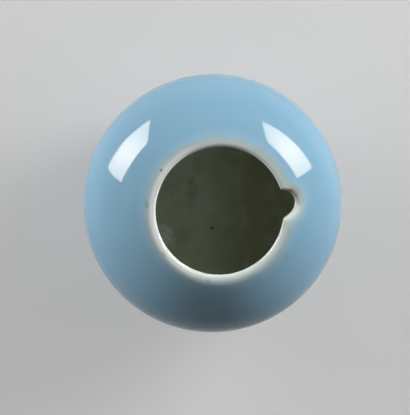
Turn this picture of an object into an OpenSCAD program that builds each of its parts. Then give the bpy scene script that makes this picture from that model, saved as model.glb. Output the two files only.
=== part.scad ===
// Water coupe: a compressed globular porcelain water pot. Its lip rolls in and is notched at one side,
// and it stands on a turned foot ring. Millimetres, +Z up, the foot on z = 0, the notch towards +X.

/* [Belly] */
// Greatest diameter, over the glaze
belly_d = 80; // [72:1:92]
// Height of the widest line above the table
belly_z = 25; // [23:0.5:29]
// Radius of the turn at the widest line
belly_r = 18; // [15:0.5:22]
// Rise of the shoulder's curve from the widest line to the axis, as if it had no mouth
crown_h = 26.5; // [24:0.5:31]
// Drop of the underside's curve from the widest line to the axis, as if it had no foot
keel_h = 25; // [23:0.5:28]

/* [Mouth] */
// Clear diameter inside the lip
mouth_d = 38; // [30:0.5:44]
// Thickness of the lip, which is a little heavier than the wall
lip_t = 3.4; // [3:0.1:4.2]
// Clear diameter of the notch in the lip
notch_d = 8.2; // [6:0.2:11]
// Width of the lip that the blue glaze has drained from, where the clay shows white
drained_w = 2.2; // [1.8:0.1:3.4]

/* [Wall] */
// Thickness of the clay wall from the widest line up
wall = 2.8; // [2:0.1:3]
// Thickness of the clay base at the axis
base_t = 4; // [3:0.25:6]
// Radius of the turn from the inner wall to the floor
well_r = 14; // [10:0.5:16]

/* [Foot] */
// Outside diameter of the foot ring
foot_d = 40; // [34:0.5:46]
// Width of the foot ring
foot_w = 3.6; // [2.8:0.1:5]
// Depth of the hollow inside the foot ring
recess = 2.6; // [1.6:0.1:3.4]
// Bevel on both edges of the standing face
foot_bevel = 0.8; // [0.3:0.1:1.1]
// Height of bare clay left on the outside of the foot ring
foot_bare = 1.2; // [1.1:0.1:2]

/* [Glaze] */
// Thickness of the blue glaze on the outside
outer_t = 0.4; // [0.2:0.05:0.7]
// Thickness of the pale glaze on the inside
inner_t = 0.3; // [0.2:0.05:0.6]
// Thickness of the clear glaze under the base
base_glaze_t = 0.3; // [0.2:0.05:0.6]

/* [Hidden] */
$fn = 160;

// Radii of the ring sizes
mouth_r = mouth_d / 2;
notch_r = notch_d / 2;
lip_r = lip_t / 2;
foot_r = foot_d / 2;
foot_in = foot_r - foot_w;

// Depths below the outer surface
clay_in = outer_t + wall;
clay_mid = outer_t + wall / 2;

// The profile is a belly arc with a flatter arc above and below, each nearly tangent to it. The belly
// arc stands this little proud of the flatter ones, so that they cross in a point instead of touching,
proud = 0.06;
// each arc's sector runs on inside its neighbour by this angle,
lap = 14;
// and a core this far above and below the widest line ties the sectors together.
core_h = 3;

// How far a flatter arc, with its centre on the axis, has that centre past the widest line
function tangent_drop(reach, rise) = (reach * reach - rise * rise) / (2 * rise);

belly_c = [belly_d / 2 - belly_r, belly_z];
crown_drop = tangent_drop(belly_c.x, crown_h - belly_r + proud);
crown_c = [0, belly_z - crown_drop];
crown_r = crown_h + crown_drop;
crown_turn = atan2(crown_drop, belly_c.x);
keel_drop = tangent_drop(belly_c.x, keel_h - belly_r + proud);
keel_c = [0, belly_z + keel_drop];
keel_r = keel_h + keel_drop;
keel_turn = -atan2(keel_drop, belly_c.x);

// Inside, below the widest line, a tighter turn and a flatter floor leave the clay heavier at the base
well_h = belly_z - recess - base_t;
well_c = [belly_d / 2 - clay_in - well_r + proud, belly_z];
floor_drop = tangent_drop(well_c.x, well_h - well_r + proud);
floor_c = [0, belly_z + floor_drop];
floor_r = well_h + floor_drop;
well_turn = -atan2(floor_drop, well_c.x);

// The lip is a round bead along the mouth's circle on the middle of the wall, which is a sphere there
mid_r = crown_r - clay_mid;
lip_turn = acos((mouth_r + lip_r) / mid_r);
// The lining is a sphere too, and it starts where the bead comes through the inside of the wall
lining_r = crown_r - clay_in;
bead_spread = acos((mid_r * mid_r + lining_r * lining_r - lip_r * lip_r) / (2 * mid_r * lining_r));
lining_turn = lip_turn - bead_spread;

// The notch is cut square to the wall, and its edge is round. The rounding is larger than half the wall
// by this much, so that it crosses the faces of the wall instead of touching them.
edge_excess = 0.15;
notch_tilt = asin(mouth_r / mid_r);
notch_edge_r = wall / 2 + edge_excess;
notch_cut_r = notch_r + notch_edge_r;

// Height where the underside's clay meets the outside of the foot ring
foot_join = keel_c.y - sqrt(pow(keel_r - outer_t, 2) - foot_r * foot_r);

// Sizes of cuts that have to pass right through or past the part
cut_h = 4 * lip_t;
past = belly_d;

function direction(angle) = [cos(angle), sin(angle)];

// Part of a disc about a centre, between two directions in degrees from +X
module pie(centre, r, from, to) {
    edge = 2 * r;
    translate(centre)
        intersection() {
            circle(r);
            polygon([
                [0, 0],
                edge * direction(from),
                edge * direction((from + to) / 2),
                edge * direction(to)
            ]);
        }
}

module above_belly() {
    intersection() {
        children();
        translate([0, belly_z]) square(past);
    }
}

module below_belly() {
    intersection() {
        children();
        translate([0, belly_z - past]) square(past);
    }
}

// A bar across the middle of a filled half section, from the axis to past the centre of its turn
module core(turn_c) {
    translate([0, belly_z - core_h]) square([turn_c.x + core_h, 2 * core_h]);
}

// Filled half section under a surface that lies at a depth below the outer one
module outline(depth) {
    above_belly() pie(crown_c, crown_r - depth, crown_turn, 90);
    pie(belly_c, belly_r - depth, keel_turn - lap, crown_turn + lap);
    below_belly() pie(keel_c, keel_r - depth, -90, keel_turn);
    core(belly_c);
}

// Half section of the hollow, less a coat of thickness t all over it
module hollow(t) {
    above_belly() pie(crown_c, lining_r - t, crown_turn, 90);
    pie(belly_c, belly_r - clay_in - t, 0, crown_turn + lap);
    pie(well_c, well_r - t, well_turn - lap, lap);
    below_belly() pie(floor_c, floor_r - t, -90, well_turn);
    core(well_c);
}

// What lies on the mouth's side of a direction from the crown's centre
module mouth_wedge(turn) {
    polygon([
        [0, belly_z],
        [crown_drop / tan(turn), belly_z],
        crown_c + past * direction(turn),
        [0, past]
    ]);
}

module lip_bead() {
    translate(crown_c + mid_r * direction(lip_turn)) circle(lip_r);
}

module foot_ring() {
    polygon([
        [foot_in, foot_join],
        [foot_in, foot_bevel],
        [foot_in + foot_bevel, 0],
        [foot_r - foot_bevel, 0],
        [foot_r, foot_bevel],
        [foot_r, foot_join]
    ]);
}

module clay_section() {
    difference() {
        union() {
            outline(outer_t);
            foot_ring();
        }
        hollow(0);
        mouth_wedge(lip_turn);
        translate([0, recess - past]) square([foot_in, past]);
    }
    lip_bead();
}

module outer_glaze_section() {
    difference() {
        outline(0);
        outline(outer_t);
        lip_bead();
        translate([0, belly_z]) square([mouth_r + drained_w, past]);
        translate([0, belly_z - past]) square([foot_r, past]);
    }
    translate([foot_r, foot_bare]) square([outer_t, foot_join - foot_bare]);
}

module inner_glaze_section() {
    difference() {
        hollow(0);
        hollow(inner_t);
        mouth_wedge(lining_turn);
    }
}

// Places a child about the notch's axis, with z = 0 where its cut's rim lies on the middle of the wall
module at_notch() {
    translate([0, 0, crown_c.y])
        rotate([0, notch_tilt, 0])
            translate([0, 0, sqrt(mid_r * mid_r - notch_cut_r * notch_cut_r)])
                children();
}

module notch_cut(r) {
    at_notch() cylinder(h = cut_h, r = r, center = true);
}

// The cut for the notch in the clay, waisted so that it leaves a round edge
module notch_spool() {
    difference() {
        notch_cut(notch_cut_r);
        at_notch()
            rotate_extrude()
                translate([notch_cut_r, 0])
                    circle(notch_edge_r);
    }
}

module porcelain_body() {
    color("#e6e8e0")
        difference() {
            rotate_extrude() clay_section();
            notch_spool();
        }
}

module outer_glaze() {
    color("#93b9cf")
        difference() {
            rotate_extrude() outer_glaze_section();
            notch_cut(notch_r + drained_w);
        }
}

module inner_glaze() {
    color("#a9b09a")
        difference() {
            rotate_extrude() inner_glaze_section();
            notch_cut(notch_cut_r);
        }
}

module base_glaze() {
    color("#dfe6e4")
        translate([0, 0, recess - base_glaze_t])
            cylinder(h = base_glaze_t, r = foot_in);
}

porcelain_body();
outer_glaze();
inner_glaze();
base_glaze();
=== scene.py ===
# %% [markdown]
# # A pale blue water coupe
# A water coupe is a small pot that stands beside an inkstone: a low globe of porcelain, open at the top,
# from which water is lifted with a ladle or a brush. The solid model gives its pieces and their sizes.
# This lesson makes the meshes that show: the white body, the blue coat over it, the pale lining inside it
# and the clear coat under its base. The solid model is loaded first, because the sizes start from it.

# %% Load the solid model
from collections import namedtuple
from math import acos, atan2, cos, degrees, exp, hypot, log, pi, radians, sin, sqrt

import bmesh
import bpy
from mathutils import Matrix, Vector
from mathutils.kdtree import KDTree


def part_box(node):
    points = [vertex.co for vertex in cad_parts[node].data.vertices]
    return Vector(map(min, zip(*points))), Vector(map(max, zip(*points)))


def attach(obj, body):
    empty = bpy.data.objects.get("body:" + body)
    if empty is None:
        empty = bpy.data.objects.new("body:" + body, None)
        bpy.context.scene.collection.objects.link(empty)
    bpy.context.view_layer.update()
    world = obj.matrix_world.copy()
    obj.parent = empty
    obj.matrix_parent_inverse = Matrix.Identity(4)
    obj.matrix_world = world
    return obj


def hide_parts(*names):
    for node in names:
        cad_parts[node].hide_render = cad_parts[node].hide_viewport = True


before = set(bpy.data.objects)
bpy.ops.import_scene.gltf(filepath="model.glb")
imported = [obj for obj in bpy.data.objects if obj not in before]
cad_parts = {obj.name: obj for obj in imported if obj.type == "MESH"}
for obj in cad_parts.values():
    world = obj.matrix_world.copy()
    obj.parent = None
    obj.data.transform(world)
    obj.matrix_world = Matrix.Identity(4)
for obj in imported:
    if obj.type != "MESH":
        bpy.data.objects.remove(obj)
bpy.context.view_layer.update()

# %% [markdown]
# ## Sizes
# A thrown pot is described by a few widths and heights, and the rest follows from its curves. The widths
# that the solid model knows are read from the boxes round its pieces. The others are written here once, in
# millimetres, so that the lip, the notch and the coats all follow when one of them changes.

# %% Sizes of the pot
mm = 0.001

blue_low, blue_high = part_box("outer_glaze")
base_low, base_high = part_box("base_glaze")
pot_r = blue_high.x
glaze_line = blue_low.z
hollow_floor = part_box("inner_glaze")[0].z
foot_in = base_high.x
recess = base_high.z

belly_z = 25 * mm
belly_turn = 18 * mm
crown_h = 26.5 * mm
keel_h = 25 * mm
foot_r = 20 * mm

wall = 2.8 * mm
blue_t = 0.4 * mm
lining_t = 0.3 * mm
base_coat_t = recess - base_low.z
well_turn = 14 * mm
coated_wall = blue_t + wall + lining_t
print("pot radius %.2f mm, wall with its coats %.2f mm" % (pot_r / mm, coated_wall / mm))

# %% [markdown]
# ## The half section
# Cut through its axis, the pot is a chain of arcs: a round turn at the belly, a flatter arc over the
# shoulder and another under the belly, both centred on the axis. Two arcs run into each other without
# a kink when their centres and the point where they meet lie on one line, and that fixes how far past the
# widest line a flat arc's centre sits. A curve object could be drawn by eye instead, but arcs stay true
# when a size changes.

# %% Circles of the half section
Circle = namedtuple("Circle", "x z r")


def tangent_drop(reach, rise):
    """How far past the widest line a flat arc's centre lies, when it meets the round turn smoothly."""
    return (reach * reach - rise * rise) / (2 * rise)


def sunk(circle, depth):
    """The same circle, drawn a depth inside the first."""
    return circle._replace(r=circle.r - depth)


def on(circle, angle):
    """A point of the half section: on a circle, at an angle up from +X."""
    return Vector((circle.x + circle.r * cos(angle), 0, circle.z + circle.r * sin(angle)))


belly = Circle(pot_r - belly_turn, belly_z, belly_turn)
crown_drop = tangent_drop(belly.x, crown_h - belly_turn)
crown = Circle(0, belly_z - crown_drop, crown_h + crown_drop)
crown_turn = atan2(crown_drop, belly.x)
keel_drop = tangent_drop(belly.x, keel_h - belly_turn)
keel = Circle(0, belly_z + keel_drop, keel_h + keel_drop)
keel_turn = -atan2(keel_drop, belly.x)

well_h = belly_z - hollow_floor
well = Circle(pot_r - blue_t - wall - well_turn, belly_z, well_turn)
floor_drop = tangent_drop(well.x, well_h - well_turn)
hollow_base = Circle(0, belly_z + floor_drop, well_h + floor_drop)
well_end = -atan2(floor_drop, well.x)
print("shoulder radius %.1f mm, underside radius %.1f mm" % (crown.r / mm, keel.r / mm))

# %% [markdown]
# ## Drawing an outline
# On the wheel a pot is one outline, turned. Here an outline is a row of vertices in the XZ plane, drawn as
# with a pair of compasses: the Spin operator carries the last vertex round a centre and leaves an arc
# behind. A straight run is an extruded vertex that is set down at its end.


# %% Outlines
arc_step = 0.8 * mm
min_steps = 4


class Outline:
    """A line of the half section, drawn from a start by arcs and straight runs."""

    def __init__(self, start):
        self.mesh = bmesh.new()
        self.end = bmesh.ops.create_vert(self.mesh, co=start)["vert"][0]

    def swing(self, circle, start, stop, step=arc_step):
        """Carries the end round a circle's centre, from one angle to another."""
        steps = round(abs(stop - start) * circle.r / step)
        turn = {"axis": (0, -1, 0), "angle": stop - start, "steps": max(min_steps, steps)}
        turn["cent"] = (circle.x, 0, circle.z)
        last = bmesh.ops.spin(self.mesh, geom=[self.end], **turn)["geom_last"]
        self.end = next(item for item in last if isinstance(item, bmesh.types.BMVert))
        return self

    def run(self, point):
        """Draws a straight line from the end to a point."""
        self.end = bmesh.ops.extrude_vert_indiv(self.mesh, verts=[self.end])["verts"][0]
        self.end.co = point
        return self


print("arcs are drawn in steps of about %.1f mm" % (arc_step / mm))

# %% [markdown]
# ## The notch
# A small notch is cut in the lip to lay the ladle in. One side is steep, the other slopes, and the bottom
# is bowed. A Boolean would leave a sharp edge to bevel, and would break the even grid of faces. So the
# notch is a formula instead: how far the mouth's edge is pushed back at each turn about the axis. The three
# sides are three simple curves, and the shallowest of them counts. A soft minimum, made of exponentials,
# rounds the corners between them and the two where they meet the mouth.

# %% How deep the notch is
edge_r = 19.33 * mm
notch_turn = radians(-0.75)
notch_corner = radians(13)
notch_sector = notch_corner * 4 / 3
notch_deep = 3.76 * mm
notch_lean = 0.34 * mm
notch_bow = 0.175 / mm
steep_side = 2.45
sloping_side = 1.42
notch_soft = 0.15 * mm


def notch_depth(turn):
    """How far the mouth's edge is cut back in plan, at a turn about the axis."""
    if abs(turn) > notch_sector:
        return 0.0
    across = (turn - notch_turn) * edge_r
    corner = notch_corner * edge_r
    steep = steep_side * (corner - across)
    sloping = sloping_side * (corner + across)
    bottom = notch_deep - notch_bow * (across - notch_lean) ** 2
    blend = sum(exp(-side / notch_soft) for side in (steep, sloping, bottom))
    return notch_soft * log(1 + 1 / blend)


notch_w = 2 * notch_corner * edge_r
print("the notch is %.1f mm wide and %.1f mm deep" % (notch_w / mm, notch_depth(0) / mm))

# %% [markdown]
# ## How far from the lip
# The rounding of the lip and the white band along it are both as wide at the notch as elsewhere, so both
# depend on one thing: how far a place lies from the mouth's edge in plan. Away from the notch that is
# a subtraction. Near the notch a tree of points along the edge finds the nearest one quickly. Behind
# a corner that distance has a crease, where the nearest point jumps from one side to the other. A mean of
# a few places side by side, spread wider the further they lie from the edge, smooths the crease and leaves
# the edge.

# %% Distance from the mouth's edge
edge_points = 8000
edge_reach = 1.2 * notch_sector
spread = (-0.8, -0.4, 0.0, 0.4, 0.8)
edge_tree = KDTree(edge_points)
for step in range(edge_points):
    edge_turn = (2 * step / edge_points - 1) * edge_reach
    edge_out = edge_r + notch_depth(edge_turn)
    edge_tree.insert((edge_out * cos(edge_turn), edge_out * sin(edge_turn), 0), step)
edge_tree.balance()


def nearest_edge(out, turn):
    """Plan distance from the mouth's edge of a place this far out from the axis, at this turn."""
    if abs(turn) > notch_sector:
        return out - edge_r
    return edge_tree.find((out * cos(turn), out * sin(turn), 0))[2]


def from_edge(out, turn):
    """The same distance without a crease behind the corners of the notch."""
    turn_per_share = nearest_edge(out, turn) / out
    return sum(nearest_edge(out, turn + share * turn_per_share) for share in spread) / len(spread)


print("%d points along the notch's edge" % edge_points)

# %% [markdown]
# ## Shaping the lip
# Near the mouth the surfaces of the wall are spheres about one centre. An outline simply runs to the edge
# along them, and this step then does what the potter's sponge does. It gathers the last rows of vertices
# towards the edge, pushes the wall back where the notch is, and thins the wall to nothing at the edge as
# an ellipse does, so that the lip is round all the way. It also keeps the distance from the edge on every
# vertex, as an attribute that the glazes can read.

# %% Shape the lip
lip_w = 2.8 * mm
lip_thin = 0.66
tip_w = 0.5 * mm
gather_w = 1.2 * mm
notch_reach = 14 * mm
merge_gap = 0.001 * mm

mid_r = crown.r - coated_wall / 2
edge_angle = acos(edge_r / mid_r)


def pushed_back(behind, turn):
    """How far behind the plain mouth's edge a place lies once the notch is open."""
    cut_back = (edge_angle - acos((edge_r + notch_depth(turn)) / mid_r)) * mid_r
    share = min(1.0, behind / notch_reach)
    return behind + cut_back * (1 - share * share * (3 - 2 * share))


def short_of(width, away):
    """1 at the mouth's edge, falling to 0 at a width from it."""
    return max(0.0, 1 - away / width)


def fullness(away):
    """How much of the wall's thickness is left at a distance from the mouth's edge."""
    return (1 - lip_thin * short_of(lip_w, away) ** 2) * sqrt(1 - short_of(tip_w, away) ** 2)


def shape_lip(pot):
    """Rounds the lip of a turned outline, opens its notch, and writes each vertex's distance from it."""
    from_lip = pot.verts.layers.float.new("from_lip")
    for vert in pot.verts:
        vert[from_lip] = pot_r
        if vert.co.z < belly_z:
            continue
        turn = atan2(vert.co.y, vert.co.x)
        out = hypot(vert.co.x, vert.co.y)
        sphere = hypot(out, vert.co.z - crown.z)
        behind = (edge_angle - atan2(vert.co.z - crown.z, out)) * mid_r
        on_edge = behind < merge_gap
        if behind < gather_w:
            behind = gather_w * (1 - cos(pi / 2 * behind / gather_w))
        angle = edge_angle - pushed_back(behind, turn) / mid_r
        away = 0.0 if on_edge else max(0.0, from_edge(mid_r * cos(angle), turn))
        vert[from_lip] = away
        sphere = mid_r + (sphere - mid_r) * fullness(away)
        out = sphere * cos(angle)
        vert.co = (out * cos(turn), out * sin(turn), crown.z + sphere * sin(angle))


print("the lip is %.1f mm thick near its edge" % (coated_wall * fullness(tip_w) / mm))

# %% [markdown]
# ## Turning the outline
# Spin turns the whole outline about Z. It is done in two goes, with close steps in the sector of the notch
# and wider ones in the rest, because only the notch needs fine detail. The first and last outlines lie on
# each other, and so do the vertices on the axis and along the lip, so doubles are merged. Then the notch's
# corners are sponged, by smoothing the vertices along its lip, and the normals are set last.

# %% The wheel
notch_steps = 96
plain_steps = 126
sponge_w = 0.45 * mm
sponge_passes = 16
sponge_press = 0.5


def sponge(pot):
    """Softens the lip along the notch."""
    from_lip = pot.verts.layers.float["from_lip"]
    lip = [vert for vert in pot.verts if vert[from_lip] < sponge_w]
    lip = [vert for vert in lip if abs(atan2(vert.co.y, vert.co.x)) < notch_sector]
    axes = {"use_axis_x": True, "use_axis_y": True, "use_axis_z": True}
    for _ in range(sponge_passes):
        bmesh.ops.smooth_vert(pot, verts=lip, factor=sponge_press, **axes)


def throw(outline):
    """Turns an outline once round the pot's axis, and shapes its lip."""
    pot = outline.mesh
    to_start = Matrix.Rotation(-notch_sector, 3, "Z")
    bmesh.ops.rotate(pot, verts=pot.verts, cent=(0, 0, 0), matrix=to_start)
    ring = pot.verts[:] + pot.edges[:]
    for turn, steps in ((2 * notch_sector, notch_steps), (2 * pi - 2 * notch_sector, plain_steps)):
        made = bmesh.ops.spin(pot, geom=ring, cent=(0, 0, 0), axis=(0, 0, 1), angle=turn, steps=steps)
        ring = made["geom_last"]
    shape_lip(pot)
    bmesh.ops.remove_doubles(pot, verts=pot.verts, dist=merge_gap)
    sponge(pot)
    bmesh.ops.recalc_face_normals(pot, faces=pot.faces)
    return pot


def ring_edges(pot, r, z):
    """The edges of the ring of vertices at a radius and a height."""
    def near(vert):
        return hypot(hypot(vert.co.x, vert.co.y) - r, vert.co.z - z) < merge_gap

    return [edge for edge in pot.edges if all(near(vert) for vert in edge.verts)]


def round_ring(pot, r, z, radius, segments):
    """Rounds the corner along a ring of vertices."""
    rounding = {"offset": radius, "segments": segments, "profile": 0.5, "material": -1}
    bmesh.ops.bevel(pot, geom=ring_edges(pot, r, z), affect="EDGES", **rounding)


print("an outline is turned in %d steps" % (notch_steps + plain_steps))

# %% [markdown]
# ## Arithmetic for materials
# A material is a tree of nodes, and a long sum drawn as Math nodes is hard to read. This small class holds
# one output of a node, and the ordinary signs add the Math nodes, so that 1 - mask means what it says.
# Colours go through Mix nodes. Every other kind of node comes from one method.


# %% Sockets that can be added up
class Socket:
    """One output of a node in a material."""

    def __init__(self, tree, output=None):
        self.tree = tree
        self.output = output

    def node(self, kind, settings=None, inputs=None, give=0):
        """Adds a node, sets it up, fills its inputs, and returns one of its outputs."""
        made = self.tree.nodes.new("ShaderNode" + kind)
        for name, value in (settings or {}).items():
            if name == "stops":
                set_stops(made.color_ramp.elements, value)
            else:
                setattr(made, name, value)
        places = {place.identifier: place for place in made.inputs}
        for name, value in (inputs or {}).items():
            if isinstance(value, Socket):
                self.tree.links.new(value.output, places[name])
            else:
                places[name].default_value = value
        return Socket(self.tree, made.outputs[give])

    def math(self, operation, first, second):
        return self.node("Math", {"operation": operation}, {"Value": first, "Value_001": second})

    def __add__(self, other):
        return self.math("ADD", self, other)

    def __radd__(self, other):
        return self.math("ADD", other, self)

    def __sub__(self, other):
        return self.math("SUBTRACT", self, other)

    def __rsub__(self, other):
        return self.math("SUBTRACT", other, self)

    def __mul__(self, other):
        return self.math("MULTIPLY", self, other)

    def __rmul__(self, other):
        return self.math("MULTIPLY", other, self)

    def __truediv__(self, other):
        return self.math("DIVIDE", self, other)

    def rise(self, low, high):
        """A mask that climbs smoothly from 0 at one value to 1 at another."""
        span = {"Value": self, "From Min": low, "From Max": high}
        return self.node("MapRange", {"interpolation_type": "SMOOTHSTEP"}, span)

    def mix(self, first, second):
        """The first colour where this mask is 0, and the second where it is 1."""
        parts = {"Factor_Float": self, "A_Color": first, "B_Color": second}
        return self.node("Mix", {"data_type": "RGBA"}, parts, give=2)

    def tint(self, under, over, strength):
        """One colour laid over another, at this strength where this mask is 1."""
        return (self * strength).mix(under, over)


def set_stops(elements, stops):
    """Fills a colour ramp from pairs of place and colour."""
    while len(elements) < len(stops):
        elements.new(1.0)
    for element, (place, colour) in zip(elements, stops):
        element.position = place
        element.color = colour


print("sockets can be added, subtracted, multiplied, divided and mixed")

# %% [markdown]
# ## What the finishes share
# All the coats are glass, so they bend light alike, and all but the stained lining start from one gloss.
# Both sit on the shader's own sockets, and a finish feeds in only what varies. Patterns are placed by Object
# coordinates, so that they stay where they are when the pot is seen from another side. A small mark is
# a column of colour over a place in plan, tall enough to cross the surface even where the lip rounds off.

# %% A finish on its way
glaze_ior = 1.5
glaze_rough = 0.03
mark_tall = 4 * mm
mark_core = 0.35
seed_soft = 0.05
ring_wander = 1.5
# How far apart the rings of a Wave texture lie at a scale of 1
wave_period = pi / 10


def rgb(red, green, blue):
    return (red, green, blue, 1.0)


class Finish:
    """A material on its way: its shader, its coordinates, and the patterns that are drawn on them."""

    def __init__(self, name, roughness=glaze_rough):
        self.material = bpy.data.materials.new(name)
        self.material.use_nodes = True
        tree = self.material.node_tree
        self.shader = tree.nodes["Principled BSDF"]
        self.shader.inputs["IOR"].default_value = glaze_ior
        self.shader.inputs["Roughness"].default_value = roughness
        self.start = Socket(tree)
        self.place = self.start.node("TexCoord", give="Object")

    def noise(self, size, detail=2.0):
        """Soft noise from 0 to 1 with patches of about this size."""
        settings = {"Vector": self.place, "Scale": 1 / size, "Detail": detail}
        return self.start.node("TexNoise", None, settings)

    def wander(self, size, amount):
        """Soft noise about 0 that spreads over this amount."""
        return (self.noise(size) - 0.5) * amount

    def patches(self, size, low, high, detail=2.0):
        """A mask of soft patches, where the noise climbs from a low level to a high one."""
        return self.noise(size, detail).rise(low, high)

    def seeds(self, spacing, radius, share):
        """A mask of dots, scattered about this far apart, of which a share is kept."""
        cells = {"Vector": self.place, "Scale": 1 / spacing}
        away = self.start.node("TexVoronoi", None, cells, give="Distance") * spacing
        level = self.start.node("TexVoronoi", None, cells, give="Color")
        kept = level.rise(1 - share, 1 - share + seed_soft)
        return kept * (1 - away.rise(mark_core * radius, radius))

    def rings(self, spacing):
        """Rings about the pot's axis, from 0 to 1, as a tool leaves them on the wheel."""
        wave = {"Vector": self.place, "Scale": wave_period / spacing, "Distortion": ring_wander}
        return self.start.node("TexWave", {"wave_type": "RINGS", "rings_direction": "Z"}, wave, give="Fac")

    def along(self, axis):
        """The place along X, Y or Z, in metres."""
        return self.start.node("SeparateXYZ", None, {"Vector": self.place}, give=axis)

    def mark(self, point, half_w, half_l=None, turn=0.0, ragged=0.0):
        """A mask of an oval mark about a point, turned in plan, whose edge wanders if it is ragged."""
        own = {"Vector": self.place, "Location": point, "Rotation": (0, 0, turn)}
        own["Scale"] = (half_w, half_l or half_w, mark_tall)
        inside = self.start.node("Mapping", {"vector_type": "TEXTURE"}, own)
        away = self.start.node("VectorMath", {"operation": "LENGTH"}, {"Vector": inside}, give="Value")
        if ragged:
            away = away + self.wander(half_w, ragged)
        return 1 - away.rise(mark_core, 1.0)

    def feed(self, socket, value):
        self.start.tree.links.new(value.output, self.shader.inputs[socket])

    def dimple(self, height, depth):
        """Lets a height between 0 and 1 dent the surface by a depth in metres."""
        bump = self.start.node("Bump", None, {"Height": height, "Distance": depth})
        self.feed("Normal", bump)


print("glaze bends light by %.2f" % glaze_ior)

# %% [markdown]
# ## How the blue leaves the lip
# The glaze is an even pale blue. It drained from the lip while it was melted, so towards the mouth the clay
# shines through: first a greyer blue, then a greyish white, then white. The body and the blue coat both
# show this stretch, so they share one function and no line shows where one ends. A ramp holds the colours
# by the distance from the lip, and a noise makes their borders wander. They lie a little wider on the -Y
# side. On the left, where the right softbox lights the rounded lip, the white band is painted wider, and a
# painted highlight runs along the edge.

# %% Colours from the lip outwards
blue = rgb(0.25, 0.468, 0.63)
thin_blue = rgb(0.275, 0.495, 0.655)
grey_blue = rgb(0.36, 0.545, 0.645)
thin_white = rgb(0.55, 0.66, 0.645)
lip_white = rgb(0.765, 0.83, 0.80)
# A painted highlight for the left lip, where the right softbox lights its rounding
painted_highlight_white = rgb(0.95, 0.99, 0.96)
fade_w = 6 * mm
full_blue = 0.82
fade_stops = [
    (0.10, lip_white),
    (0.225, thin_white),
    (0.38, grey_blue),
    (0.60, thin_blue),
    (full_blue, blue),
]
fade_wander = 0.6 * mm
fade_patch = 5 * mm
fade_lean = 0.005
# Painted light on the left lip: its reach, the painted widening of the white band, and a painted highlight
lit_left_reach = 16 * mm
lit_left_widening = 0.2 * mm
painted_highlight_w = 1.8 * mm
painted_highlight_core = 0.4 * painted_highlight_w


def lip_distance(finish):
    """How far a place lies from the mouth's edge, as it was written on the mesh."""
    return finish.start.node("Attribute", {"attribute_name": "from_lip"}, give="Fac")


def lip_fade(finish):
    """White lip, greyish where the glaze is thin, then the full blue, and painted light on the left lip."""
    away = lip_distance(finish)
    # Painted light: on the left, where the right softbox lights the rounded lip, the white band is widened
    lit_left = 1 - finish.along("X").rise(-lit_left_reach, 0)
    wander = finish.wander(fade_patch, fade_wander)
    across = away + finish.along("Y") * fade_lean - lit_left * lit_left_widening + wander
    fade = finish.start.node("ValToRGB", {"stops": fade_stops}, {"Fac": across / fade_w})
    # A painted highlight along the edge of the lip on the left
    painted_highlight = lit_left * (1 - away.rise(painted_highlight_core, painted_highlight_w))
    return painted_highlight.tint(fade, painted_highlight_white, strength=0.85)


print("the blue is full %.1f mm from the mouth's edge" % (full_blue * fade_w / mm))

# %% [markdown]
# ## Marks of the kiln and of use
# Clay holds specks of iron, and they come through the glaze as brown dots. Here a rusty stain sits at the
# steep corner of the notch and runs on round it as a brownish grey smear, which also carries painted shade
# along the notch's edge. There is a dark speck and a smudge on the left, and a few fainter marks lie along
# the lip. Each has a place in plan, a size and a colour.

# %% Marks round the lip
iron_brown = rgb(0.52, 0.27, 0.13)
# A brownish grey smear, with painted shade along the notch's edge
smear_and_shade_grey = rgb(0.34, 0.29, 0.20)
speck_grey = rgb(0.10, 0.11, 0.10)
dust_brown = rgb(0.24, 0.22, 0.18)
stain_spot = (21.9, 3.35)
# Each dust mark's place in plan and its half width, in millimetres, and its turn in degrees
dust_spots = ((-6.0, -20.4, 0.8, 74), (-18.3, -10.9, 0.8, 31), (18.4, -16.6, 1.1, -48))
dust_stretch = 1.6


def on_shoulder(x, y):
    """A point of the shoulder's surface, over a place in plan in millimetres."""
    return Vector((x * mm, y * mm, crown.z + sqrt(crown.r ** 2 - (x * x + y * y) * mm * mm)))


def lip_marks(finish, colour):
    """Lays the marks round the lip over a colour."""
    # The smear is a real mark, and it also carries painted shade along the notch's edge
    smear_and_shade = finish.mark(on_shoulder(23.6, 0.8), 1.2 * mm, 3.6 * mm, turn=radians(14), ragged=0.9)
    colour = smear_and_shade.tint(colour, smear_and_shade_grey, strength=0.40)
    stain = finish.mark(on_shoulder(*stain_spot), 1.3 * mm, 1.1 * mm, ragged=0.7)
    colour = stain.tint(colour, iron_brown, strength=0.78)
    speck = finish.mark(on_shoulder(-16.1, 14.35), 0.6 * mm, ragged=0.4)
    colour = speck.tint(colour, speck_grey, strength=0.75)
    smudge = finish.mark(on_shoulder(-21.6, 4.7), 0.9 * mm, 1.8 * mm, turn=radians(8), ragged=1.0)
    colour = smudge.tint(colour, dust_brown, strength=0.38)
    for x, y, half_w, turn in dust_spots:
        half_l = dust_stretch * half_w
        dust = finish.mark(on_shoulder(x, y), half_w * mm, half_l * mm, turn=radians(turn), ragged=0.9)
        colour = dust.tint(colour, dust_brown, strength=0.2)
    return colour


print("the stain lies %.1f mm from the axis" % (on_shoulder(*stain_spot).xy.length / mm))

# %% [markdown]
# ## The blue glaze
# A glaze like this was blown or dipped on and melted to an even glass. Up close it still isn't one colour:
# it lies a little thicker here and there, fine bubbles in it scatter the light, and a few pinholes are left
# where bubbles burst. So a wide noise deepens the blue, a fine one lightens it, and scattered dots stand
# for the pinholes. Both noises come in gradually along the lip's fade. The surface swells and sinks by
# a thousandth of a millimetre or two, which softens the edges of what it mirrors.

# %% Blue glaze
deep_blue = rgb(0.21, 0.41, 0.58)
milky_blue = rgb(0.41, 0.60, 0.71)
pinhole_blue = rgb(0.12, 0.20, 0.25)
noise_start = 0.2 * fade_w
gloss_vary = 0.015


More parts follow.
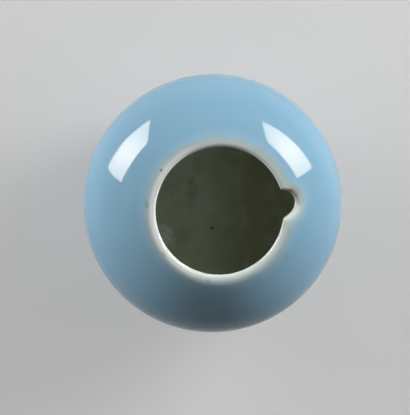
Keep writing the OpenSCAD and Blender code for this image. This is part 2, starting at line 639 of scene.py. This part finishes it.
def blue_glaze():
    finish = Finish("sky blue glaze")
    colour = lip_marks(finish, lip_fade(finish))
    full = lip_distance(finish).rise(noise_start, fade_w)
    thick = finish.patches(size=22 * mm, low=0.3, high=0.7) * full
    colour = thick.tint(colour, deep_blue, strength=0.10)
    bubbles = finish.patches(size=1.2 * mm, low=0.35, high=0.75, detail=3.0) * full
    colour = bubbles.tint(colour, milky_blue, strength=0.05)
    pinholes = finish.seeds(spacing=4.5 * mm, radius=0.13 * mm, share=0.35)
    colour = pinholes.tint(colour, pinhole_blue, strength=0.7)
    finish.feed("Base Color", colour)
    finish.feed("Roughness", glaze_rough + finish.noise(size=3 * mm) * gloss_vary)
    finish.dimple(finish.noise(size=6 * mm), depth=0.002 * mm)
    return finish.material


sky_blue = blue_glaze()
print("made", sky_blue.name)

# %% [markdown]
# ## The porcelain
# Under a clear skin of glaze the lip is white. Only the foot ring, on which the pot stood in the kiln, is
# bare: the fired clay is buff and dull, with fine grit, and it burned to a rusty line beside the glaze.
# One mask by height tells the bare foot from the lip, and drives both the colour and the roughness.

# %% White porcelain
buff = rgb(0.62, 0.55, 0.44)
grit_brown = rgb(0.36, 0.29, 0.21)
rust = rgb(0.48, 0.25, 0.11)
bare_rough = 0.55
bare_top = 3 * mm
bare_fade = 0.3 * mm
rust_start = 0.5 * mm
rust_full = 1.4 * mm


def white_porcelain():
    finish = Finish("white porcelain")
    height = finish.along("Z")
    bare = 1 - height.rise(bare_top, bare_top + bare_fade)
    grit = finish.patches(size=0.5 * mm, low=0.55, high=0.75, detail=3.0)
    clay = grit.tint(buff, grit_brown, strength=0.6)
    near_glaze = (height + finish.wander(size=1.5 * mm, amount=0.8 * mm)).rise(rust_start, rust_full)
    clay = near_glaze.tint(clay, rust, strength=0.7)
    finish.feed("Base Color", bare.mix(lip_marks(finish, lip_fade(finish)), clay))
    finish.feed("Roughness", glaze_rough + bare * bare_rough)
    finish.dimple(bare * finish.noise(size=0.4 * mm, detail=3.0), depth=0.05 * mm)
    return finish.material


porcelain_white = white_porcelain()
print("made", porcelain_white.name)

# %% [markdown]
# ## The lining
# The glaze inside is thin, and years of inky water have stained it: greenish grey on the left, olive on the
# right. The olive side is darkened further with painted shade, and the upper wall is darker and greyer. A
# painted reflection lies on the wall at the lower left, as a pale patch with streaks. A dark speck and an
# olive blotch with two darker cores lie on the floor, and the tool's rings can be felt under the glaze.

# %% Lining glaze
lining_pale = rgb(0.555, 0.65, 0.49)
# Olive stain, darkened further as painted shade
olive_stain_and_shade = rgb(0.23, 0.27, 0.055)
lining_brown = rgb(0.42, 0.40, 0.25)
lining_cool = rgb(0.55, 0.65, 0.55)
lining_wall = rgb(0.42, 0.465, 0.345)
# The colour of a painted reflection on the wall at the lower left
painted_reflection_white = rgb(0.87, 1.0, 0.93)
blotch_olive = rgb(0.33, 0.35, 0.18)
lining_rough = 0.12
olive_start = -4 * mm
olive_full = 15 * mm
olive_lean = -0.1
# The upper wall is darker and greyer from this height up
upper_wall_low = 11 * mm
# How the painted reflection and its streaks lie in plan
painted_reflection_turn = radians(32)
reflection_streak_turn = radians(42)
reflection_streak_spots = ((-13.6, -8.4), (-14.3, -10.6), (-16.0, -10.8))
# Each core's place in plan and its radius, in millimetres, and how strong it is
core_spots = ((-4.95, 5.6, 1.3, 0.8), (-4.8, 1.7, 1.1, 0.4))


def on_hollow(x, y):
    """A point of the lining's floor, over a place in plan in millimetres."""
    reach = hollow_base.r - lining_t
    return Vector((x * mm, y * mm, hollow_base.z - sqrt(reach ** 2 - (x * x + y * y) * mm * mm)))


def lining_glaze():
    finish = Finish("pale lining glaze", lining_rough)
    # Towards +X the lining turns olive: a stain, darkened further as painted shade
    side = finish.along("X") + finish.along("Y") * olive_lean + finish.wander(size=9 * mm, amount=8 * mm)
    colour = side.rise(olive_start, olive_full).mix(lining_pale, olive_stain_and_shade)
    # Darker and greyer on the upper wall
    on_upper_wall = finish.along("Z").rise(upper_wall_low, belly_z)
    colour = on_upper_wall.tint(colour, lining_wall, strength=0.8)
    centre = finish.mark(on_hollow(-1, -1), 8 * mm, 6 * mm, ragged=0.6)
    colour = centre.tint(colour, lining_cool, strength=0.4)
    cloud = finish.patches(size=6 * mm, low=0.45, high=0.7, detail=4.0)
    colour = cloud.tint(colour, lining_brown, strength=0.5)
    # A painted reflection: a pale patch with streaks on the lower left wall
    painted_reflection = finish.mark(on_hollow(-15.0, -10.0), 3.0 * mm, 6.0 * mm, turn=painted_reflection_turn, ragged=0.9)
    colour = painted_reflection.tint(colour, painted_reflection_white, strength=0.65)
    for x, y in reflection_streak_spots:
        reflection_streak = finish.mark(on_hollow(x, y), 0.8 * mm, 2.8 * mm, turn=reflection_streak_turn, ragged=0.8)
        colour = reflection_streak.tint(colour, painted_reflection_white, strength=0.9)
    blot = finish.mark(on_hollow(-4.5, 3.3), 2.6 * mm, 5.0 * mm, ragged=1.0)
    colour = blot.tint(colour, blotch_olive, strength=0.45)
    for x, y, radius, strength in core_spots:
        core = finish.mark(on_hollow(x, y), radius * mm, ragged=0.9)
        colour = core.tint(colour, blotch_olive, strength)
    speck = finish.mark(on_hollow(0.33, -9.75), 0.75 * mm)
    colour = speck.tint(colour, speck_grey, strength=0.9)
    finish.feed("Base Color", colour)
    finish.dimple(finish.rings(spacing=2.4 * mm), depth=0.014 * mm)
    return finish.material


pale_lining = lining_glaze()
print("made", pale_lining.name)

# %% [markdown]
# ## The coat under the base
# The hollow of the foot was glazed clear, so it shows the clay as a cool white. It was glazed last and by
# hand: the rings of the turning tool lie under it, and dust left a few dark specks in it.

# %% Base glaze
base_white = rgb(0.70, 0.75, 0.74)
base_shade = rgb(0.63, 0.69, 0.69)


def base_glaze():
    finish = Finish("clear base glaze")
    shade = finish.patches(size=8 * mm, low=0.35, high=0.7, detail=3.0)
    specks = finish.seeds(spacing=3.5 * mm, radius=0.2 * mm, share=0.4)
    colour = specks.tint(shade.mix(base_white, base_shade), speck_grey, strength=0.7)
    finish.feed("Base Color", colour)
    finish.dimple(finish.rings(spacing=1.6 * mm), depth=0.02 * mm)
    return finish.material


clear_base = base_glaze()
print("made", clear_base.name)

# %% [markdown]
# ## From outline to piece
# Each piece of the solid model is stood for by one mesh. The steps that all four share are in one function:
# edges that are meant to be crisp, such as the thin edge of a coat, are marked sharp, the mesh becomes an
# object with its finish, it rides on the part, and the piece of the solid model that it replaces is hidden.

# %% Turn a mesh into a finished piece
crisp = radians(50)


def piece(pot, name, material, node):
    """Makes an object that rides on the part and stands for one of its nodes."""
    for edge in pot.edges:
        edge.smooth = edge.calc_face_angle(0) < crisp
    mesh = bpy.data.meshes.new(name)
    pot.to_mesh(mesh)
    pot.free()
    mesh.polygons.foreach_set("use_smooth", [True] * len(mesh.polygons))
    mesh.materials.append(material)
    made = bpy.data.objects.new(name, mesh)
    bpy.context.scene.collection.objects.link(made)
    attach(made, "root")
    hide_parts(node)
    print("%s: %d faces" % (name, len(mesh.polygons)))
    return made


# %% [markdown]
# ## Where the coats start
# A coat of glaze has no step at its edge: it thins out over the clay. So the clay dips under the blue coat
# along an arc that leaves the shoulder smoothly, and the coat fills the dip. The same arc, drawn once for
# the body and once for the coat, keeps both in touch all the way. The lining feathers out in a straight
# run.

# %% Where the coats start
coat_start = 1.3 * mm
lip_step = 0.1 * mm
shoulder_step = 0.3 * mm
dip_r = 14 * mm
lining_feather = 4 * mm

coat_angle = edge_angle - coat_start / mid_r
dip_reach = crown.r - dip_r
dip = Circle(dip_reach * cos(coat_angle), crown.z + dip_reach * sin(coat_angle), dip_r)
clay_crown = sunk(crown, blue_t)
dip_spread = acos((dip_reach ** 2 + clay_crown.r ** 2 - dip_r ** 2) / (2 * dip_reach * clay_crown.r))
dip_swing = acos((clay_crown.r ** 2 - dip_reach ** 2 - dip_r ** 2) / (2 * dip_reach * dip_r))
blue_full = coat_angle - dip_spread
lining_full = coat_angle - lining_feather / mid_r
print("the blue coat is full %.1f mm from its edge" % (dip_spread * mid_r / mm))

# %% [markdown]
# ## The body
# The body's outline is one walk: across the floor inside, up the hollow wall, round the lip, down the
# outside under the blue coat, and round the foot ring to the axis. The two edges of the foot on which the
# pot stands were wiped round with a wet finger, so they get a bevel after turning.

# %% The porcelain body
foot_round = 0.8 * mm
foot_segments = 4
clay_belly = sunk(belly, blue_t)
clay_keel = sunk(keel, blue_t)
foot_turn = -acos(foot_r / clay_keel.r)
hollow_crown = sunk(crown, blue_t + wall)
hollow_belly = sunk(belly, blue_t + wall)
lining_crown = sunk(crown, coated_wall)

body_line = Outline(on(hollow_base, -pi / 2))
body_line.swing(hollow_base, -pi / 2, well_end)
body_line.swing(well, well_end, 0)
body_line.swing(hollow_belly, 0, crown_turn)
body_line.swing(hollow_crown, crown_turn, lining_full)
body_line.run(on(lining_crown, coat_angle))
body_line.swing(lining_crown, coat_angle, edge_angle, lip_step)
body_line.run(on(crown, edge_angle))
body_line.swing(crown, edge_angle, coat_angle, lip_step)
body_line.swing(dip, coat_angle, coat_angle - dip_swing, shoulder_step)
body_line.swing(clay_crown, blue_full, crown_turn)
body_line.swing(clay_belly, crown_turn, keel_turn)
body_line.swing(clay_keel, keel_turn, foot_turn)
body_line.run((foot_r, 0, 0)).run((foot_in, 0, 0)).run((foot_in, 0, recess)).run((0, 0, recess))
body_mesh = throw(body_line)
for ring_r in (foot_r, foot_in):
    round_ring(body_mesh, ring_r, 0, foot_round, foot_segments)
piece(body_mesh, "thrown_body", porcelain_white, "porcelain_body")

# %% [markdown]
# ## The blue coat
# The coat is a shell over the whole outside. It collects a little where the underside meets the foot ring,
# so a small arc fills that corner, and it ends on the foot in a round bead. The potter wiped the foot by
# hand, so the bead rises and falls a few tenths of a millimetre round the pot: two sine waves move it.

# %% The blue coat
pool_r = 1.2 * mm
wave_h = 0.1 * mm
wave_counts = (3, 7)
collar_r = foot_r + blue_t
pool_z = keel.z - sqrt((keel.r + pool_r) ** 2 - (collar_r + pool_r) ** 2)
pool = Circle(collar_r + pool_r, pool_z, pool_r)
pool_angle = atan2(pool.z - keel.z, pool.x)
bead = Circle(foot_r, glaze_line + blue_t, blue_t)

blue_line = Outline(on(crown, coat_angle))
blue_line.swing(crown, coat_angle, crown_turn, shoulder_step)
blue_line.swing(belly, crown_turn, keel_turn)
blue_line.swing(keel, keel_turn, pool_angle)
blue_line.swing(pool, pool_angle + pi, pi, lip_step)
blue_line.run(on(bead, 0)).swing(bead, 0, -pi / 2, lip_step)
blue_line.run(on(clay_keel, foot_turn))
blue_line.swing(clay_keel, foot_turn, keel_turn)
blue_line.swing(clay_belly, keel_turn, crown_turn)
blue_line.swing(clay_crown, crown_turn, blue_full)
blue_line.swing(dip, coat_angle - dip_swing, coat_angle, shoulder_step)
blue_mesh = throw(blue_line)
for vert in blue_mesh.verts:
    if vert.co.z < bead.z + merge_gap:
        bead_turn = atan2(vert.co.y, vert.co.x)
        vert.co.z += wave_h * sum(1 + sin(count * bead_turn + count) for count in wave_counts)
blue_coat = piece(blue_mesh, "blue_coat", sky_blue, "outer_glaze")

# %% [markdown]
# ## The lining
# The lining is a thin shell that follows the hollow, from the middle of the floor to just under the lip.
# Its outside walks back along the same arcs that the body used, so the two surfaces touch.

# %% The lining
lining_base = sunk(hollow_base, lining_t)
lining_line = Outline(on(lining_base, -pi / 2))
lining_line.swing(lining_base, -pi / 2, well_end)
lining_line.swing(sunk(well, lining_t), well_end, 0)
lining_line.swing(sunk(hollow_belly, lining_t), 0, crown_turn)
lining_line.swing(lining_crown, crown_turn, coat_angle, shoulder_step)
lining_line.run(on(hollow_crown, lining_full))
lining_line.swing(hollow_crown, lining_full, crown_turn)
lining_line.swing(hollow_belly, crown_turn, 0)
lining_line.swing(well, 0, well_end)
lining_line.swing(hollow_base, well_end, -pi / 2)
piece(throw(lining_line), "lining_coat", pale_lining, "inner_glaze")

# %% [markdown]
# ## The base coat
# Under the base the clear glaze lies flat, and it creeps a little way along the inside of the foot ring.
# A small arc rounds it off there.

# %% The base coat
base_pool = 0.9 * mm
base_curve = Circle(foot_in - base_pool, recess - base_coat_t - base_pool, base_pool)
base_line = Outline((0, 0, recess))
base_line.run((foot_in, 0, recess)).run(on(base_curve, 0))
base_line.swing(base_curve, 0, pi / 2, lip_step)
base_line.run((0, 0, recess - base_coat_t))
piece(throw(base_line), "base_coat", clear_base, "base_glaze")

# %% [markdown]
# ## The camera
# The photograph looks almost straight into the mouth. The camera's place is written as a photographer would
# say it: how far off, how far it leans up and to the left of the pot's axis, and which way round the pot is
# up in the picture. The focal length in pixels and the pixel of the pot's middle were measured from the
# outline and the mouth.

# %% Camera
photo_size = Vector((410, 415))
pot_pixel = Vector((213.05, 203.7))
focal_pixels = 2105.0
camera_distance = 0.65
tilt_up = radians(6.15)
tilt_left = radians(5.45)
image_up = radians(83.55)
sensor_w = 36.0

tilt = hypot(tilt_up, tilt_left)
camera_turn = image_up + atan2(tilt_left, tilt_up)
back = Vector((sin(tilt) * cos(camera_turn), sin(tilt) * sin(camera_turn), cos(tilt)))
up = Vector((cos(image_up), sin(image_up), 0))
up = (up - up.dot(back) * back).normalized()
right = up.cross(back)
middle = Vector((0, 0, belly_z))
offset = (pot_pixel - photo_size / 2) * camera_distance / focal_pixels
aim = middle - offset.x * right + offset.y * up

camera_data = bpy.data.cameras.new("camera")
camera_data.sensor_width = sensor_w
camera_data.lens = focal_pixels * sensor_w / max(photo_size)
camera = bpy.data.objects.new("camera", camera_data)
facing = Matrix((right, up, back)).transposed().to_4x4()
camera.matrix_world = Matrix.Translation(aim + camera_distance * back) @ facing
bpy.context.scene.collection.objects.link(camera)
bpy.context.scene.camera = camera
print("camera %.1f mm lens, leaning %.1f degrees" % (camera_data.lens, degrees(tilt)))

# %% [markdown]
# ## What stands round the pot
# Softboxes and floor are stage: they aren't part of the pot. Their materials ask what kind of ray meets
# them, so that the floor can look pale to the camera without throwing more light on the pot.

# %% Stage objects
def stage_object(made_mesh, name, material):
    """Puts a mesh on the stage, which isn't part of the pot."""
    mesh = bpy.data.meshes.new(name)
    made_mesh.to_mesh(mesh)
    made_mesh.free()
    mesh.materials.append(material)
    made = bpy.data.objects.new(name, mesh)
    bpy.context.scene.collection.objects.link(made)
    print("on the stage:", name)
    return made


def ray_is(start, *kinds):
    """1 for a ray of one of these kinds, and 0 for any other."""
    path = start.node("LightPath").output.node
    return sum(Socket(start.tree, path.outputs["Is %s Ray" % kind]) for kind in kinds)


# %% [markdown]
# ## Softboxes
# The glaze mirrors two softboxes as bright four-sided patches on the shoulder. A mirror shows where its
# light comes from: lines of sight round each patch are mirrored on the pot, and the softbox's outline lies
# along the mirrored rays. So the patches come out in shape and place. The pot bends their sides, so a patch
# is written as its four corners in pixels, and how far each side bows out. A softbox is brightest in front
# of its bulb and falls off towards its corners. How bright a patch looks and how much light its softbox
# sheds are set apart.

# %% Softboxes
left_patch = ((150.4, 120.0), (147.7, 142.9), (121.1, 182.2), (107.8, 167.0))
left_bows = (-0.3, -2.1, 1.6, 5.2)
right_patch = ((261.8, 121.5), (267.2, 142.3), (296.7, 177.9), (312.0, 166.4))
right_bows = (0.0, -2.5, 1.5, 6.0)
side_steps = 4
top_end = side_steps // 2
bottom_end = 2 * side_steps + top_end
light_distance = 0.7
left_shed, left_mirrored = 13.2, rgb(16.1, 14.5, 12.9)
right_shed, right_mirrored = 23.4, rgb(15.1, 12.7, 10.4)
corner_loss = 0.36
bulb_share = 0.53


def patch_outline(corners, bows):
    """Points round a patch, whose sides are parabolas that bow out by these numbers of pixels."""
    corners = [Vector(corner) for corner in corners]
    centre = sum(corners, Vector((0, 0))) / len(corners)
    points = []
    for start, end, bow in zip(corners, corners[1:] + corners[:1], bows):
        out = Vector((end.y - start.y, start.x - end.x)).normalized()
        if out.dot(start - centre) < 0:
            out.negate()
        for step in range(side_steps):
            share = step / side_steps
            points.append(start.lerp(end, share) + 4 * share * (1 - share) * bow * out)
    return points


def outward(point):
    """The direction that the pot's upper surface faces at a point."""
    out = hypot(point.x, point.y)
    circle = crown if atan2(point.z - crown.z, out) > crown_turn else belly
    lean = atan2(point.z - circle.z, out - circle.x)
    return Vector((cos(lean) * point.x / out, cos(lean) * point.y / out, sin(lean)))


def mirrored(pixel):
    """Where a pixel's line of sight meets the pot, and the direction in which the pot mirrors it."""
    shift = (pixel - photo_size / 2) / focal_pixels
    sight = (shift.x * right - shift.y * up - back).normalized()
    _, point, _, _ = blue_coat.ray_cast(camera.location, sight)
    return point, sight.reflect(outward(point))


def glow(name, shed, shine, bulb, reach):
    """A material that sheds light from its front, most before a bulb, and looks otherwise in a mirror."""
    material = bpy.data.materials.new(name)
    material.use_nodes = True
    start = Socket(material.node_tree)
    front = 1 - start.node("NewGeometry", give="Backfacing")
    between = {"Vector": start.node("TexCoord", give="Object"), "Vector_001": bulb}
    away = start.node("VectorMath", {"operation": "DISTANCE"}, between, give="Value")
    level = front * (1 - away.rise(0, reach) * corner_loss)
    colour = ray_is(start, "Glossy").mix(rgb(shed, shed, shed), shine)
    light = start.node("Emission", None, {"Color": level.mix(rgb(0, 0, 0), colour)})
    surface = material.node_tree.nodes["Material Output"].inputs["Surface"]
    material.node_tree.links.new(light.output, surface)
    return material


def softbox(name, patch, bows, shed, shine):
    """A flat panel of light that the pot mirrors as a patch of the photograph."""
    sights = [mirrored(pixel) for pixel in patch_outline(patch, bows)]
    centre = sum((point + light_distance * away for point, away in sights), Vector()) / len(sights)
    facing = (middle - centre).normalized()
    panel = bmesh.new()
    rim = []
    for point, away in sights:
        reach = (centre - point).dot(facing) / away.dot(facing)
        rim += bmesh.ops.create_vert(panel, co=point + reach * away)["vert"]
    top, bottom = rim[top_end].co, rim[bottom_end].co
    bulb = top.lerp(bottom, bulb_share)
    bmesh.ops.contextual_create(panel, geom=rim)
    panel.faces.ensure_lookup_table()
    if panel.faces[0].normal.dot(facing) < 0:
        bmesh.ops.reverse_faces(panel, faces=panel.faces)
    area = panel.faces[0].calc_area()
    made = stage_object(panel, name, glow(name, shed, shine, bulb, (bulb - top).length))
    made.visible_camera = False
    print("%s: %.3f square metres, %.2f m up" % (name, area, centre.z))


bpy.context.view_layer.update()
softbox("left softbox", left_patch, left_bows, left_shed, left_mirrored)
softbox("right softbox", right_patch, right_bows, right_shed, right_mirrored)

# %% [markdown]
# ## Side lamps
# A white card on each side of the pot throws light back on its flanks. A weak, wide lamp does the same, and
# it is left out of mirrors, because the cards don't show in the glaze.

# %% Side lamps
lamp_distance = 0.7
lamp_size = 0.22
lamp_rise = 0.25
left_watts, right_watts = 1.0, 0.6


def side_lamp(name, side, watts):
    """A wide weak lamp beside the pot, to the camera's right or left, that shines at the pot's middle."""
    way = (side * right + lamp_rise * back).normalized()
    light = bpy.data.lights.new(name, "AREA")
    light.shape = "DISK"
    light.size = lamp_size
    light.energy = watts
    lamp = bpy.data.objects.new(name, light)
    aimed = way.to_track_quat("Z", "Y").to_matrix().to_4x4()
    lamp.matrix_world = Matrix.Translation(middle + lamp_distance * way) @ aimed
    lamp.visible_glossy = False
    bpy.context.scene.collection.objects.link(lamp)
    print("%s: %.1f W, %.2f m up" % (name, watts, lamp.matrix_world.translation.z))


side_lamp("left lamp", -1, left_watts)
side_lamp("right lamp", 1, right_watts)

# %% [markdown]
# ## Floor and backdrop
# A plain pale floor runs far out on all sides, and the world behind it is about as pale. Away from the
# lamps the floor would turn dark, so it gives off a little light of its own, but only to the camera and to
# mirrors. To scattered light both are duller, so that the pot's underside keeps its shade. The floor has no
# gloss, because a low view across it would catch the glare of the softboxes.

# %% Floor
floor_pale = rgb(0.42, 0.42, 0.42)
floor_dull = rgb(0.30, 0.30, 0.30)
floor_own = rgb(0.30, 0.30, 0.30)
floor_size = 3.0
floor_rough = 0.6

floor_mesh = bmesh.new()
bmesh.ops.create_grid(floor_mesh, x_segments=1, y_segments=1, size=floor_size)
floor_finish = Finish("pale floor", floor_rough)
floor_seen = ray_is(floor_finish.start, "Camera", "Glossy", "Transmission")
floor_finish.feed("Base Color", floor_seen.mix(floor_dull, floor_pale))
floor_finish.feed("Emission Color", floor_seen.mix(rgb(0, 0, 0), floor_own))
floor_finish.shader.inputs["Emission Strength"].default_value = 1.0
floor_finish.shader.inputs["Specular IOR Level"].default_value = 0.0
stage_object(floor_mesh, "floor", floor_finish.material)

# %% World
fill_level = 0.06
backdrop_level = 0.42

world = bpy.data.worlds.new("studio")
bpy.context.scene.world = world
world.use_nodes = True
sky = Socket(world.node_tree)
background = world.node_tree.nodes["Background"]
sky_seen = ray_is(sky, "Camera", "Glossy", "Transmission")
strength = fill_level + (backdrop_level - fill_level) * sky_seen
world.node_tree.links.new(strength.output, background.inputs["Strength"])
background.inputs["Color"].default_value = rgb(1, 1, 1)
print("fill light %.2f, backdrop %.2f" % (fill_level, backdrop_level))

# %% [markdown]
# ## The view transform
# The picture uses the Standard view transform.

# %% Finish
bpy.context.scene.view_settings.view_transform = "Standard"
